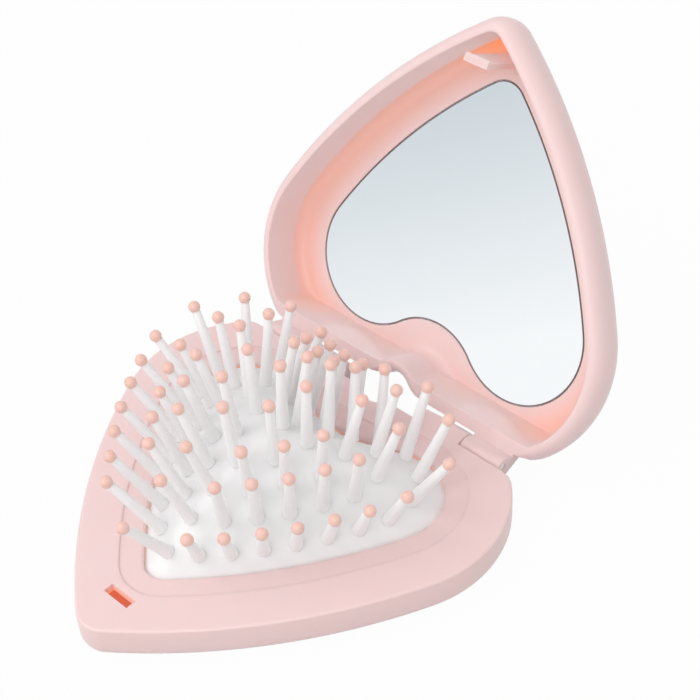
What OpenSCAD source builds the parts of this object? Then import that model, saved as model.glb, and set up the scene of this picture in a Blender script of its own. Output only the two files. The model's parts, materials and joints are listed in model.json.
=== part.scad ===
// Folding compact hairbrush with a mirror in its lid.
// A heart-shaped base holds a sprung cushion of ball-tipped pins, and a heart-shaped lid
// turns on two split hinges at the lobes. The hinge runs along X, the heart's point is
// at -Y and z = 0 is the flat underside. The lid is drawn fully open, as it stands in use.

/* [Heart outline] */
// Radius of each lobe
lobe_r = 24.1; // [23:0.1:27]
// Distance of each lobe's centre from the middle line
lobe_x = 18.9; // [17:0.1:21]
// Radius of the long side curves
side_r = 121; // [100:1:160]
// Radius of the heart's point
tip_r = 5.6; // [5.6:0.1:8]
// Distance of the heart's point from the line of the lobe centres
tip_y = 57.3; // [54:0.1:62]
// Radius of the notch between the lobes
notch_r = 3.4; // [2.5:0.1:6]

/* [Base] */
// Height of the base
base_h = 8; // [7.6:0.1:11]
// Thickness of the base's side wall
base_wall = 2.2; // [1.6:0.1:2.8]
// Thickness of the deck round the pins
deck_t = 1.8; // [1.2:0.1:2.2]
// Rounding of the base's lower edge
base_round = 3; // [1:0.1:3.6]
// Rounding of both rims where base and lid meet
lip_round = 0.5; // [0.2:0.1:1]
// Distance of the brush opening from the outline
opening_inset = 12.4; // [11:0.1:14]
// Radius of the brush opening's point
opening_tip_r = 4.3; // [2:0.1:6]
// Distance of the opening's shallow notch from the lobe centres
opening_dip = 7.2; // [5:0.1:9]
// Width of the sunk border round the opening
border_w = 4.4; // [2:0.1:6]
// Depth of the sunk border
border_depth = 0.4; // [0.2:0.1:0.6]

/* [Bottom cover] */
// Thickness of the bottom cover
cover_t = 1.1; // [0.8:0.1:1.4]
// Distance of the cover's edge from the outline
cover_inset = 4.2; // [3.9:0.1:4.4]
// Width of the ledge that the cover is bonded to
ledge_w = 1; // [0.6:0.1:1]
// Thickness of the ledge
ledge_t = 1; // [0.6:0.1:1.4]
// Clearance between the cover and its rebate
cover_gap = 0.1; // [0.05:0.05:0.3]

/* [Cushion] */
// Thickness of the rubber cushion
pad_t = 0.9; // [0.6:0.1:1.2]
// Width of the cushion's clamped flange
flange_w = 2.2; // [1.5:0.1:3]
// Height that the cushion swells above its flange
pad_rise = 13; // [10:0.1:14]
// Roundness of the crown: low is pointed, high is flat-topped
crown_power = 1.6; // [1.2:0.05:1.8]
// Distance of the crown's middle from the line of the lobe centres
crown_y = 11; // [8:0.5:13]
// Thickness of the ring that clamps the cushion
frame_t = 1.5; // [1:0.1:2]
// Clearance between the cushion and what holds it
pad_gap = 0.05; // [0.02:0.01:0.2]
// Thickness of the cover's rib under the clamping ring
rib_t = 1.3; // [1:0.1:2]

/* [Pins] */
// Number of pins in the outer ring
outer_count = 26; // [20:2:30]
// Number of pins in the second ring
second_count = 19; // [14:1:21]
// Number of pins in the third ring
third_count = 12; // [8:1:13]
// Number of pins in the middle
middle_count = 6; // [3:1:6]
// Place of the outer ring, as a share of the opening
outer_scale = 0.84; // [0.8:0.01:0.87]
// Place of the second ring, as a share of the opening
second_scale = 0.63; // [0.61:0.01:0.65]
// Place of the third ring, as a share of the opening
third_scale = 0.44; // [0.42:0.01:0.46]
// Place of the middle pins, as a share of the opening
middle_scale = 0.23; // [0.2:0.01:0.26]
// Lean of the outer pins
outer_lean = 31; // [20:1:35]
// Lean of the outer pins at the back, next to the hinge
back_lean = 23; // [16:1:28]
// Lean of the second ring's pins
second_lean = 19; // [12:1:24]
// Lean of the third ring's pins
third_lean = 16; // [8:1:20]
// Lean of the middle pins
middle_lean = 4; // [0:1:8]
// Length of the outer pins, from the middle of the foot to the middle of the ball
outer_l = 14.4; // [13:0.1:15]
// Length of the second ring's pins
second_l = 13.6; // [12.5:0.1:14.5]
// Length of the third ring's pins
third_l = 13.6; // [12:0.1:14]
// Length of the middle pins
middle_l = 13.5; // [12:0.1:14]
// Radius of a pin at its root
pin_root_r = 1.15; // [0.9:0.05:1.2]
// Radius of a pin at its ball
pin_end_r = 0.85; // [0.6:0.05:0.9]
// Radius of the round foot that seats a pin on the cushion
foot_r = 1.3; // [1.2:0.05:1.4]
// Height at which the foot has narrowed to the pin
foot_h = 1.1; // [0.6:0.1:1.6]
// Radius of the ball on each pin
ball_r = 1.2; // [1:0.05:1.3]
// Distance of the ball's flat seat from its middle
ball_seat = 0.75; // [0.6:0.05:0.8]
// Gap between a pin's foot and the cushion
pin_gap = 0.15; // [0.1:0.05:0.3]

/* [Lid] */
// Angle that the lid opens to
open_angle = 116; // [100:1:120]
// Depth from the lid's rim to its floor
lid_depth = 10.2; // [10:0.1:13]
// Thickness of the lid's floor
floor_t = 2.9; // [2.6:0.1:3.4]
// Thickness of the lid's side wall
lid_wall = 2.8; // [2:0.1:2.9]
// Distance that the lid's rounded back draws in from its widest line
back_draw = 9.4; // [6:0.1:9.6]
// Height of the rounding from the lid's rim to its widest line
rim_round_h = 3.5; // [1:0.1:4.5]
// Width of the flat left on the lid's rim
rim_land = 0.6; // [0.4:0.1:1.4]
// Fillet between the lid's wall and its floor
lid_fillet = 2.6; // [1:0.1:2.6]
// Gap between the two rims when the lid is shut
rim_gap = 0.2; // [0.1:0.05:0.4]

/* [Mirror] */
// Distance of the mirror's edge from the outline
mirror_inset = 10; // [8:0.1:12]
// Radius of the mirror's point
mirror_tip_r = 5; // [2:0.1:7]
// Thickness of the mirror glass
mirror_t = 1.3; // [1:0.1:1.6]
// Depth of the mirror's face below the lid's floor
mirror_sunk = 0.2; // [0.1:0.05:0.3]
// Thickness of the adhesive film behind the mirror
film_t = 0.2; // [0.1:0.05:0.2]
// Gap round the mirror's edge
mirror_gap = 0.25; // [0.1:0.05:0.5]

/* [Hinge] */
// Distance of the hinge line from the back of the lobes
hinge_from_back = 3.6; // [3.1:0.1:4.1]
// Radius of the lid's hinge barrels
barrel_r = 1.9; // [1.8:0.1:2.2]
// Clearance between a barrel and the flat cut across the lobes
barrel_gap = 0.3; // [0.2:0.05:0.5]
// Distance of the hinge lugs' inner end from the lobe centres, towards the middle
lug_start = 8.6; // [5:0.1:11]
// Length of each lug of the base
base_lug_l = 11; // [8:0.1:12]
// Length of each lug of the lid
lid_lug_l = 9.4; // [7:0.1:10]
// Gap between a base lug and a lid lug
lug_gap = 0.3; // [0.2:0.05:0.5]
// Height of the lid lug's web up the lid's wall
web_h = 3.3; // [2:0.1:4]
// Radius of the hinge pins
hinge_pin_r = 0.8; // [0.6:0.05:1]
// Radial running clearance of the hinge pins in the lid
run_gap = 0.05; // [0.03:0.01:0.08]
// Radial clearance of the hinge pins in the base, where they are pressed in
press_gap = 0.01; // [0.005:0.005:0.02]
// Length that a hinge pin falls short of the lugs at each end
pin_short = 0.5; // [0.2:0.1:1]
// Gap left at the stop when the lid is fully open
stop_gap = 0.05; // [0.03:0.01:0.1]

/* [Catch] */
// Distance of the catch slot from the heart's point
slot_from_tip = 8.6; // [8:0.1:10]
// Length of the catch slot
slot_l = 6.2; // [5:0.1:8]
// Width of the catch slot
slot_w = 2.1; // [1.8:0.1:2.6]
// Thickness of the tongue
tongue_t = 1.1; // [0.9:0.05:1.2]
// Clearance at each end of the tongue
tongue_gap = 0.3; // [0.2:0.05:0.5]
// Depth that the tongue's nub hooks under the deck
hook = 0.25; // [0.1:0.05:0.35]
// Height of the nub
nub_h = 1; // [0.6:0.1:1.4]
// Gap between the nub and the deck above it when the lid is shut
nub_gap = 0.15; // [0.1:0.05:0.3]

/* [Hidden] */
$fn = 96;
// Sides of the small turned pieces
small_fn = 16;
// Steps along the point, side, lobe and notch arcs of a lofted heart, round its edges, up the crown
// and round a pin's foot
arc_steps = [5, 9, 15, 5];
round_steps = 4;
lip_steps = 2;
pad_rows = 6;
foot_steps = 4;
// Smallest radius that the heart's point keeps as a row moves in
least_tip_r = 2;
// Share of the crown at its flat middle
flat_share = 0.06;
// A length that runs safely past any piece
past = 2 * (lobe_r + lobe_x);

// The heart: side arcs, lobe arcs, the arc of the point and the arc of the notch, all tangent
lobe_c = [lobe_x, 0];
tip_c = [0, tip_r - tip_y];
side_c = crossing(lobe_c, side_r - lobe_r, tip_c, side_r - tip_r);
notch_cy = sqrt((lobe_r + notch_r) ^ 2 - lobe_x ^ 2);
outline = heart(0, tip_r);
opening = shallow_heart(opening_inset, opening_tip_r, opening_dip);
border = shallow_heart(opening_inset - border_w, opening_tip_r + border_w, opening_dip + border_w);
flange = shallow_heart(opening_inset - flange_w, opening_tip_r + flange_w, opening_dip + flange_w);
mirror_seat = heart(mirror_inset - mirror_gap, mirror_tip_r + mirror_gap);

// Heights, from the underside up
ledge_inset = cover_inset + ledge_w;
deck_z = base_h - deck_t;
clamp_z = deck_z - pad_t - 2 * pad_gap;
frame_z = clamp_z - frame_t;
rim_z = base_h + rim_gap;
lid_h = lid_depth + floor_t;
back_h = lid_h - rim_round_h;
rim_draw = lid_wall - rim_land;

// The hinge: the lobes are cut flat just in front of the barrels
hinge_y = lobe_r - hinge_from_back;
hinge_z = base_h - barrel_r;
flat_off = barrel_r + barrel_gap;
flat_y = hinge_y - flat_off;
lug_in = lobe_x - lug_start;
lug_split = lug_in + base_lug_l;
lug_out = lug_split + lug_gap + lid_lug_l;

// The pins: rings as [count, share of the opening, lean, length]
outer_ring = [outer_count, outer_scale, outer_lean, outer_l];
back_ring = [outer_count, outer_scale, back_lean, outer_l];
second_ring = [second_count, second_scale, second_lean, second_l];
third_ring = [third_count, third_scale, third_lean, third_l];
middle_ring = [middle_count, middle_scale, middle_lean, middle_l];
// Where the outer ring's groups end, as shares of the way round from the point to the notch
tip_share = 0.11;
side_share = 0.5;
turn_share = 0.66;
lobe_share = 0.87;

// The catch
slot_y = slot_from_tip - tip_y;
tongue_y = slot_y - slot_w / 2 + tongue_gap;

function polar(r, a) = r * [cos(a), sin(a)];
function bearing(p, q) = atan2(q.y - p.y, q.x - p.x);

// The left-hand crossing of two circles
function crossing(p, rp, q, rq) =
    let (
        d = norm(q - p),
        u = (q - p) / d,
        along = (d ^ 2 + rp ^ 2 - rq ^ 2) / (2 * d),
        across = sqrt(rp ^ 2 - along ^ 2)
    )
    p + along * u + across * [u.y, -u.x];

// A heart is [lobe radius, side radius, point radius, point centre y, notch radius, notch centre y]
function point_cy(reach) = side_c.y - sqrt(reach ^ 2 - side_c.x ^ 2);
function heart(inset, point_r) = [
    lobe_r - inset, side_r - inset, point_r, point_cy(side_r - inset - point_r), notch_r + inset, notch_cy
];
// A heart whose notch reaches down only to y = dip
function shallow_heart(inset, point_r, dip) =
    let (r = lobe_r - inset, bow = (lobe_x ^ 2 + dip ^ 2 - r ^ 2) / (2 * (r - dip)))
    [r, side_r - inset, point_r, point_cy(side_r - inset - point_r), bow, dip + bow];

// The right half of a heart as arcs, [centre, radius, from, to], from the point to the notch
function arcs(h) =
    let (point = [0, h[3]], notch = [0, h[5]])
    [
        [point, h[2], -90, bearing(side_c, point)],
        [side_c, h[1], bearing(side_c, point), bearing(side_c, lobe_c)],
        [lobe_c, h[0], bearing(side_c, lobe_c), bearing(lobe_c, notch)],
        [notch, h[4], bearing(notch, lobe_c), -90]
    ];
function arc_length(a) = a[1] * abs(a[3] - a[2]) * PI / 180;
function half_length(list, i = 0) = i == len(list) ? 0 : arc_length(list[i]) + half_length(list, i + 1);

// The spot [point, outward direction] at a length along the arcs
function spot(list, way, i = 0) =
    way <= arc_length(list[i]) || i == len(list) - 1
        ? arc_spot(list[i], way)
        : spot(list, way - arc_length(list[i]), i + 1);
function arc_spot(a, way) =
    let (turn = way / a[1] * 180 / PI)
    a[3] > a[2]
        ? [a[0] + polar(a[1], a[2] + turn), a[2] + turn]
        : [a[0] + polar(a[1], a[2] - turn), a[2] - turn + 180];

// The spots all round a heart, anticlockwise from the point
function mirrored(s) = [[-s[0].x, s[0].y], 180 - s[1]];
function heart_spots(h) =
    let (
        list = arcs(h),
        half = [
            for (k = [0:3], i = [0:arc_steps[k] - 1]) arc_spot(list[k], arc_length(list[k]) * i / arc_steps[k]),
            arc_spot(list[3], arc_length(list[3]))
        ]
    )
    [each half, for (i = [len(half) - 2:-1:1]) mirrored(half[i])];

// The spot at a share of the whole way round the opening, anticlockwise from the point
opening_arcs = arcs(opening);
opening_half = half_length(opening_arcs);
function round_spot(share) =
    share <= 0.5
        ? spot(opening_arcs, 2 * share * opening_half)
        : mirrored(spot(opening_arcs, 2 * (1 - share) * opening_half));

// The cushion is a stack of scaled openings that swells towards its middle
crown_c = [0, -crown_y];
function shrink(p, scale) = crown_c + scale * (p - crown_c);
function crown_z(scale) = deck_z - pad_gap + pad_rise * (1 - scale ^ crown_power);
function crown_slope(spot, scale) =
    atan2(pad_rise * crown_power * scale ^ (crown_power - 1), (spot[0] - crown_c) * polar(1, spot[1]));

// Closed rows of points: the outline moved in, and the opening moved out and scaled
opening_spots = heart_spots(opening);
function point_r(inset) = max(tip_r - inset, min(tip_r, least_tip_r));
function inset_row(inset, z) = [for (s = heart_spots(heart(inset, point_r(inset)))) [each s[0], z]];
function pad_row(out, scale, z) = [for (s = opening_spots) [each shrink(s[0] + polar(out, s[1]), scale), z]];

module heart_2d(h) {
    half_heart_2d(h);
    mirror([1, 0])
        half_heart_2d(h);
}

module half_heart_2d(h) {
    point = [0, h[3]];
    notch = [0, h[5]];
    from = bearing(side_c, point);
    to = bearing(side_c, lobe_c);
    reach = side_r * 1.1;
    translate(point)
        circle(h[2]);
    translate(lobe_c)
        circle(h[0]);
    intersection() {
        translate(side_c)
            circle(h[1]);
        polygon([
            point, side_c + polar(reach, from), side_c + polar(reach, (from + to) / 2),
            side_c + polar(reach, to), lobe_c, [0, 0]
        ]);
    }
    difference() {
        polygon([[0, 0], lobe_c, notch]);
        translate(notch)
            circle(h[4]);
    }
}

// A solid skinned over closed rows of points, with a flat cap at each end
module skin(rows) {
    count = len(rows[0]);
    last = len(rows) - 1;
    polyhedron(
        points = [for (row = rows) each row],
        faces = [
            [for (i = [0:count - 1]) i],
            [for (i = [count - 1:-1:0]) last * count + i],
            for (k = [0:last - 1], i = [0:count - 1])
                let (a = k * count + i, b = k * count + (i + 1) % count)
                each [[b, a, b + count], [a, a + count, b + count]]
        ]
    );
}

// A heart-shaped block with rounded lower and upper edges, each given as [draw-in, height]
module rounded_heart(height, low, high, high_steps = lip_steps) {
    skin([
        for (i = [0:round_steps])
            let (t = 90 * i / round_steps) inset_row(low[0] * (1 - sin(t)), low[1] * (1 - cos(t))),
        for (i = [0:high_steps])
            let (t = 90 * i / high_steps) inset_row(high[0] * (1 - cos(t)), height - high[1] * (1 - sin(t)))
    ]);
}

// Everything in front of a line across the lobes
module in_front(y) {
    intersection() {
        children();
        translate([-past, y - 2 * past, -past])
            cube([2 * past, 2 * past, 2 * past]);
    }
}

// A section in the plane across the hinge, [y, z] from its axis, drawn out along X
module across_hinge(from, to) {
    translate([from, hinge_y, hinge_z])
        rotate([90, 0, 90])
            linear_extrude(to - from)
                children();
}

module both_sides() {
    children();
    mirror([1, 0, 0])
        children();
}

module base_lug() {
    stop_d = flat_off - stop_gap;
    top_y = (stop_d - barrel_r * sin(open_angle)) / -cos(open_angle);
    back_y = hinge_from_back + 1;
    back_z = (stop_d + back_y * cos(open_angle)) / sin(open_angle);
    bottom_z = base_round - hinge_z;
    intersection() {
        across_hinge(lug_in, lug_split)
            polygon([
                [-flat_off - base_wall / 2, bottom_z], [-flat_off - base_wall / 2, barrel_r],
                [top_y, barrel_r], [back_y, back_z], [back_y, bottom_z]
            ]);
        linear_extrude(base_h + base_round)
            heart_2d(outline);
    }
}

module base_shell() {
    color("mistyrose")
        difference() {
            union() {
                difference() {
                    in_front(flat_y)
                        rounded_heart(base_h, [base_round, base_round], [lip_round, lip_round]);
                    in_front(flat_y - base_wall)
                        translate([0, 0, cover_t + ledge_t])
                            linear_extrude(deck_z - cover_t - ledge_t)
                                heart_2d(heart(base_wall, tip_r - base_wall));
                    in_front(flat_y - base_wall - ledge_w)
                        linear_extrude(deck_z - ledge_t)
                            heart_2d(heart(ledge_inset, tip_r - ledge_inset));
                    in_front(flat_y - base_wall)
                        translate([0, 0, -cover_t])
                            linear_extrude(2 * cover_t)
                                heart_2d(heart(cover_inset, tip_r - cover_inset));
                }
                both_sides()
                    base_lug();
            }
            translate([0, 0, deck_z - deck_t])
                linear_extrude(3 * deck_t)
                    heart_2d(opening);
            translate([0, 0, base_h - border_depth])
                linear_extrude(deck_t)
                    heart_2d(border);
            translate([-slot_l / 2, slot_y - slot_w / 2, deck_z - deck_t])
                cube([slot_l, slot_w, 3 * deck_t]);
            both_sides()
                across_hinge(lug_in - lug_gap, lug_split + lug_gap)
                    circle(hinge_pin_r + press_gap, $fn = small_fn);
        }
}

module bottom_cover() {
    edge = cover_inset + cover_gap;
    rib_inset = opening_inset - flange_w;
    color("mistyrose") {
        in_front(flat_y - base_wall - cover_gap)
            linear_extrude(cover_t)
                heart_2d(heart(edge, tip_r - edge));
        translate([0, 0, cover_t / 2])
            linear_extrude(frame_z - cover_t / 2)
                difference() {
                    heart_2d(flange);
                    heart_2d(shallow_heart(rib_inset + rib_t, opening_tip_r + flange_w - rib_t,
                                           opening_dip + flange_w - rib_t));
                }
    }
}

module pad_frame() {
    color("whitesmoke")
        translate([0, 0, frame_z])
            linear_extrude(frame_t)
                difference() {
                    heart_2d(flange);
                    heart_2d(opening);
                }
}

module cushion_pad() {
    shares = [for (i = [0:pad_rows]) flat_share + (1 - flat_share) * i / pad_rows];
    top = deck_z - pad_gap;
    color("white")
        skin([
            for (s = shares) pad_row(-pad_gap, s, crown_z(s) - pad_t),
            pad_row(flange_w, 1, top - pad_t),
            pad_row(flange_w, 1, top),
            for (i = [pad_rows:-1:0]) pad_row(-pad_gap, shares[i], crown_z(shares[i]))
        ]);
}

module hinge_pin() {
    color("silver")
        across_hinge(lug_in + pin_short, lug_out - pin_short)
            circle(hinge_pin_r, $fn = small_fn);
}

module hinge_pin_right() {
    hinge_pin();
}

module hinge_pin_left() {
    mirror([1, 0, 0])
        hinge_pin();
}

// Turns what is drawn shut to the fully open lid
module opened() {
    translate([0, hinge_y, hinge_z])
        rotate([-open_angle, 0, 0])
            translate([0, -hinge_y, -hinge_z])
                children();
}

module lid_lug() {
    wall_z = rim_z - hinge_z;
    across_hinge(lug_split + lug_gap, lug_out) {
        circle(barrel_r);
        polygon([
            [-barrel_r, 0], [-barrel_r, wall_z], [-flat_off - lid_wall / 2, wall_z],
            [-flat_off - lid_wall / 2, wall_z + web_h], [-flat_off, wall_z + web_h],
            [barrel_r, wall_z - lip_round], [barrel_r, 0]
        ]);
    }
}

// The hollow of the lid, from below its rim to its floor, with a filleted floor edge
module lid_hollow() {
    skin([
        inset_row(lid_wall, -rim_gap),
        for (i = [0:round_steps])
            let (t = 90 * i / round_steps)
                inset_row(lid_wall + lid_fillet * (1 - cos(t)), lid_depth - lid_fillet * (1 - sin(t)))
    ]);
}

// The springy tongue that hooks under the deck at the slot
module tongue() {
    foot_z = deck_z - nub_gap - nub_h;
    length = slot_l - 2 * tongue_gap;
    nub_y = slot_y - slot_w / 2 - hook;
    translate([-length / 2, 0, 0])
        rotate([90, 0, 90])
            linear_extrude(length)
                polygon([
                    [tongue_y, rim_z + lid_depth + floor_t / 2], [tongue_y, deck_z - nub_gap],
                    [nub_y, deck_z - nub_gap - hook], [nub_y, foot_z + nub_h / 2], [tongue_y, foot_z],
                    [tongue_y + tongue_t, foot_z], [tongue_y + tongue_t, rim_z + lid_depth + floor_t / 2]
                ]);
}

module lid_shell() {
    color("mistyrose")
        opened()
            difference() {
                union() {
                    translate([0, 0, rim_z])
                        difference() {
                            in_front(flat_y)
                                translate([0, 0, lid_h])
                                    mirror([0, 0, 1])
                                        rounded_heart(lid_h, [back_draw, back_h], [rim_draw, rim_round_h],
                                                      round_steps);
                            in_front(flat_y - lid_wall)
                                lid_hollow();
                            translate([0, 0, lid_depth - film_t])
                                linear_extrude(mirror_sunk + mirror_t + 2 * film_t)
                                    heart_2d(mirror_seat);
                        }
                    both_sides()
                        lid_lug();
                    tongue();
                }
                both_sides()
                    across_hinge(lug_split, lug_out + lug_gap)
                        circle(hinge_pin_r + run_gap, $fn = small_fn);
            }
}

module mirror_glass() {
    color("lightsteelblue")
        opened()
            translate([0, 0, rim_z + lid_depth + mirror_sunk])
                linear_extrude(mirror_t)
                    heart_2d(heart(mirror_inset, mirror_tip_r));
}

module mirror_adhesive() {
    color("gray")
        opened()
            translate([0, 0, rim_z + lid_depth + mirror_sunk + mirror_t])
                linear_extrude(film_t)
                    heart_2d(heart(mirror_inset + film_t, mirror_tip_r - film_t));
}

// Seats its child on the cushion at each pin of a ring between two shares of the way round
module at_pins(ring, from = 0, to = 1) {
    for (i = [0:ring[0] - 1])
        let (share = i / ring[0], s = round_spot(share), p = shrink(s[0], ring[1]), slope = crown_slope(s, ring[1]))
            if (share >= from && share < to)
                translate([p.x, p.y, crown_z(ring[1])])
                    rotate([0, slope, s[1]])
                        translate([0, 0, foot_r + pin_gap])
                            rotate([0, ring[2] - slope, 0])
                                children();
}

module pin(length) {
    color("white")
        rotate_extrude($fn = small_fn)
            polygon([
                for (i = [0:foot_steps]) foot_r * [sin(90 * i / foot_steps), -cos(90 * i / foot_steps)],
                [pin_root_r, foot_h], [pin_end_r, length - ball_seat], [0, length - ball_seat]
            ]);
}

module ball(length) {
    color("pink")
        translate([0, 0, length])
            difference() {
                sphere(ball_r, $fn = small_fn);
                translate([-ball_r, -ball_r, -2 * ball_r - ball_seat])
                    cube(2 * ball_r);
            }
}

// The outer ring's groups, each between two shares of the way round
module tip_group() {
    at_pins(outer_ring, 0, tip_share / 2)
        children();
    at_pins(outer_ring, 1 - tip_share / 2, 1)
        children();
}

module right_group(ring, from, to) {
    at_pins(ring, from / 2, to / 2)
        children();
}

module left_group(ring, from, to) {
    mirror([1, 0, 0])
        right_group(ring, from, to)
            children();
}

module notch_group() {
    at_pins(back_ring, lobe_share / 2, 1 - lobe_share / 2)
        children();
}

module pins_tip() {
    tip_group()
        pin(outer_l);
}

module pins_right_side() {
    right_group(outer_ring, tip_share, side_share)
        pin(outer_l);
}

module pins_right_lobe_outer() {
    right_group(outer_ring, side_share, turn_share)
        pin(outer_l);
}

module pins_right_lobe_inner() {
    right_group(back_ring, turn_share, lobe_share)
        pin(outer_l);
}

module pins_notch() {
    notch_group()
        pin(outer_l);
}

module pins_left_lobe_inner() {
    left_group(back_ring, turn_share, lobe_share)
        pin(outer_l);
}

module pins_left_lobe_outer() {
    left_group(outer_ring, side_share, turn_share)
        pin(outer_l);
}

module pins_left_side() {
    left_group(outer_ring, tip_share, side_share)
        pin(outer_l);
}

module pins_second_ring() {
    at_pins(second_ring)
        pin(second_l);
}

module pins_third_ring() {
    at_pins(third_ring)
        pin(third_l);
}

module pins_middle() {
    at_pins(middle_ring)
        pin(middle_l);
}

module balls_tip() {
    tip_group()
        ball(outer_l);
}

module balls_right_side() {
    right_group(outer_ring, tip_share, side_share)
        ball(outer_l);
}

module balls_right_lobe_outer() {
    right_group(outer_ring, side_share, turn_share)
        ball(outer_l);
}

module balls_right_lobe_inner() {
    right_group(back_ring, turn_share, lobe_share)
        ball(outer_l);
}

module balls_notch() {
    notch_group()
        ball(outer_l);
}

module balls_left_lobe_inner() {
    left_group(back_ring, turn_share, lobe_share)
        ball(outer_l);
}

module balls_left_lobe_outer() {
    left_group(outer_ring, side_share, turn_share)
        ball(outer_l);
}

module balls_left_side() {
    left_group(outer_ring, tip_share, side_share)
        ball(outer_l);
}

module balls_second_ring() {
    at_pins(second_ring)
        ball(second_l);
}

module balls_third_ring() {
    at_pins(third_ring)
        ball(third_l);
}

module balls_middle() {
    at_pins(middle_ring)
        ball(middle_l);
}

base_shell();
bottom_cover();
pad_frame();
cushion_pad();
hinge_pin_left();
hinge_pin_right();
lid_shell();
mirror_glass();
mirror_adhesive();
pins_tip();
pins_right_side();
pins_right_lobe_outer();
pins_right_lobe_inner();
pins_notch();
pins_left_lobe_inner();
pins_left_lobe_outer();
pins_left_side();
pins_second_ring();
pins_third_ring();
pins_middle();
balls_tip();
balls_right_side();
balls_right_lobe_outer();
balls_right_lobe_inner();
balls_notch();
balls_left_lobe_inner();
balls_left_lobe_outer();
balls_left_side();
balls_second_ring();
balls_third_ring();
balls_middle();
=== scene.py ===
import json
import math
import random

import bmesh
import bpy
from mathutils import Matrix, Vector
from mathutils.kdtree import KDTree


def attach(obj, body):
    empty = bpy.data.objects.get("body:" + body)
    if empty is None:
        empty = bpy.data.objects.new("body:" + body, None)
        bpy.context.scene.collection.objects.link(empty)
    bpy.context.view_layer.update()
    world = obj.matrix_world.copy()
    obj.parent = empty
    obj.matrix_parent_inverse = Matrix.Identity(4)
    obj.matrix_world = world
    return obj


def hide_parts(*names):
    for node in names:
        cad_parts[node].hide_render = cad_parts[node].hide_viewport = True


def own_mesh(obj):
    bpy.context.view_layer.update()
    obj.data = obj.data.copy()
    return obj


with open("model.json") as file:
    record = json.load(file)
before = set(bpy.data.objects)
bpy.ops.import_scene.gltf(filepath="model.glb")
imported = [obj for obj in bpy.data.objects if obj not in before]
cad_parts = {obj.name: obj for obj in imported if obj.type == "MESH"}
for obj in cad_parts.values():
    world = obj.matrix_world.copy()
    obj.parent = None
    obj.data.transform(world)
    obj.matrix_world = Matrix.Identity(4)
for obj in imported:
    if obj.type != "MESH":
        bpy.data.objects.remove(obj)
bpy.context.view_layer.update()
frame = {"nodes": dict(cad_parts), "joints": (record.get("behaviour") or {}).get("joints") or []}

mm = 0.001
weldGap = 1e-6
openAngle = next(j["range_deg"][1] for j in frame["joints"] if j["name"] == "lid_hinge")

# Sizes are in millimetres, with the flat underside at z = 0 and the heart's point at -Y.
heart = {
    "lobeR": 24.1, "lobeX": 18.9, "sideR": 121.0, "tipR": 5.6, "tipY": -57.3, "notchR": 3.4,
    "leastTipR": 2.0,         # the point stays this round as rows move in
    "flatY": 18.3,            # the lobes are cut flat here, for the hinge
    "flatSoftness": 0.5,      # rounding of the corners beside that flat
    "steps": (10, 24, 40, 12),
}


def crossing(p, rp, q, rq):
    d = math.dist(p, q)
    ux, uy = (q[0] - p[0]) / d, (q[1] - p[1]) / d
    along = (d * d + rp * rp - rq * rq) / (2 * d)
    across = math.sqrt(rp * rp - along * along)
    return (p[0] + along * ux + across * uy, p[1] + along * uy - across * ux)


lobeC = (heart["lobeX"], 0.0)
tipC = (0.0, heart["tipR"] + heart["tipY"])
sideC = crossing(lobeC, heart["sideR"] - heart["lobeR"], tipC, heart["sideR"] - heart["tipR"])
notchC = (0.0, math.sqrt((heart["lobeR"] + heart["notchR"]) ** 2 - heart["lobeX"] ** 2))


def bearing(p, q):
    return math.atan2(q[1] - p[1], q[0] - p[0])


def heartArcs(inset, tipR, dip=None):
    # the right half as (centre, radius, from, to), from the point round to the notch
    lobeR, sideR = heart["lobeR"] - inset, heart["sideR"] - inset
    reach = sideR - tipR
    tip = (0.0, sideC[1] - math.sqrt(reach * reach - sideC[0] ** 2))
    if dip is None:
        notch, notchR = notchC, heart["notchR"] + inset
    else:
        notchR = (heart["lobeX"] ** 2 + dip ** 2 - lobeR ** 2) / (2 * (lobeR - dip))
        notch = (0.0, dip + notchR)
    return [
        (tip, tipR, -math.pi / 2, bearing(sideC, tip)),
        (sideC, sideR, bearing(sideC, tip), bearing(sideC, lobeC)),
        (lobeC, lobeR, bearing(sideC, lobeC), bearing(lobeC, notch)),
        (notch, notchR, bearing(notch, lobeC), -math.pi / 2),
    ]


def arcLength(arc):
    return arc[1] * abs(arc[3] - arc[2])


def arcSpot(arc, way):
    # (x, y, outward angle) at a length along the arc
    centre, r, start, end = arc
    a = start + way / r if end > start else start - way / r
    outward = a if end > start else a + math.pi
    return (centre[0] + r * math.cos(a), centre[1] + r * math.sin(a), outward)


def mirrored(spot):
    return (-spot[0], spot[1], math.pi - spot[2])


def heartLoop(inset, tipR, dip=None):
    arcs = heartArcs(inset, tipR, dip)
    half = [arcSpot(arc, arcLength(arc) * i / n) for arc, n in zip(arcs, heart["steps"]) for i in range(n)]
    half.append(arcSpot(arcs[3], arcLength(arcs[3])))
    return half + [mirrored(s) for s in half[-2:0:-1]]


def softCut(y, limit):
    k = heart["flatSoftness"]
    return (y + limit - math.sqrt((y - limit) ** 2 + k * k)) / 2


def loopRow(loop, inset, z, flat=None):
    row = []
    for x, y, a in loop:
        px, py = x - inset * math.cos(a), y - inset * math.sin(a)
        row.append((px, py if flat is None else softCut(py, flat), z))
    return row


def insetRow(inset, z, flat=None):
    # the outline moved in, with its point kept round
    return loopRow(heartLoop(inset, max(heart["tipR"] - inset, heart["leastTipR"])), 0, z, flat)


def quarterTurn(steps):
    # the angles from 0 to a right angle
    return [math.pi / 2 * k / steps for k in range(steps + 1)]


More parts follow.
